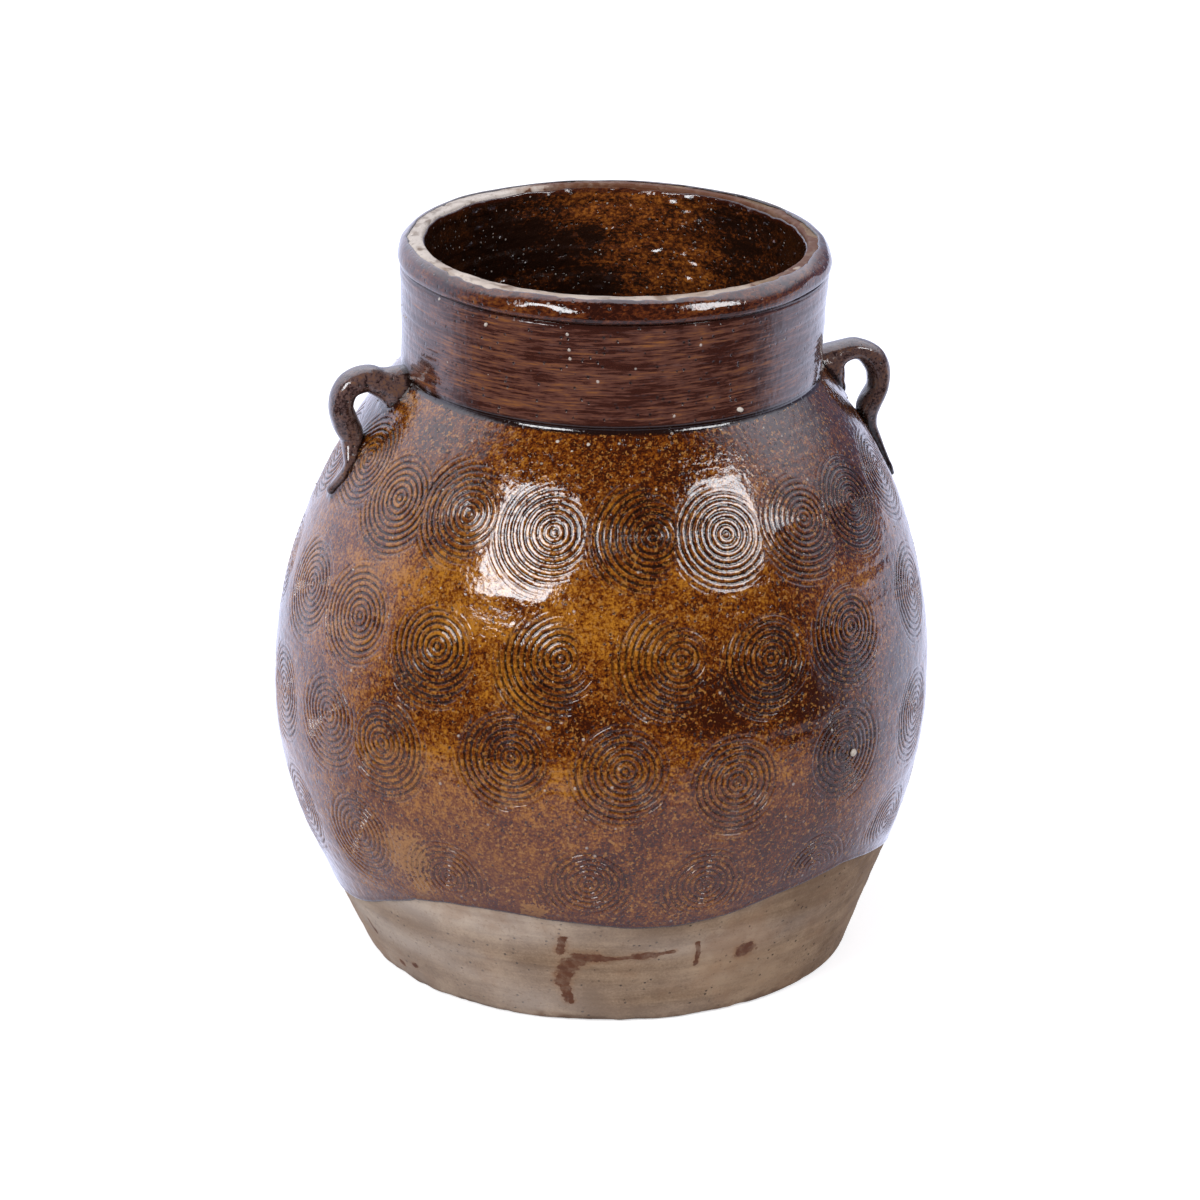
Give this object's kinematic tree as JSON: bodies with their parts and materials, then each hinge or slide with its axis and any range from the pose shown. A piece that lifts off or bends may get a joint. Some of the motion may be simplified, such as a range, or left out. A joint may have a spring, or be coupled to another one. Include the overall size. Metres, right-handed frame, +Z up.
{
  "type": "storage jar",
  "caption": "Wide-mouthed glazed stoneware storage jar, coil built, with a rolled rim, straight neck, cord lugs on the shoulder and a bare foot.",
  "frame": {"origin": "centre of the foot, on the ground the jar stands on", "axes": "+Z up along the jar's axis and out of the mouth, the two lugs on the X axis"},
  "size_m": [0.2876, 0.2876, 0.32],
  "materials": {
    "clay": "bare fired stoneware, dry and matt",
    "brown_glaze": "glossy speckled amber to dark brown glaze",
    "inner_brown_glaze": "glossy dark brown glaze, speckled",
    "grit": "matt sandy kiln grit"
  },
  "bodies": {
    "root": {"base_slab": "clay", "wall_coil_1": "clay", "wall_coil_2": "clay", "wall_coil_3": "clay", "wall_coil_4": "clay", "wall_coil_5": "clay", "neck_collar": "clay", "rim_roll": "clay", "left_lug": "clay", "right_lug": "clay", "outer_glaze": "brown_glaze", "inner_glaze": "inner_brown_glaze", "left_lug_glaze": "brown_glaze", "right_lug_glaze": "brown_glaze", "kiln_grit": "grit"}
  },
  "joints": []
}
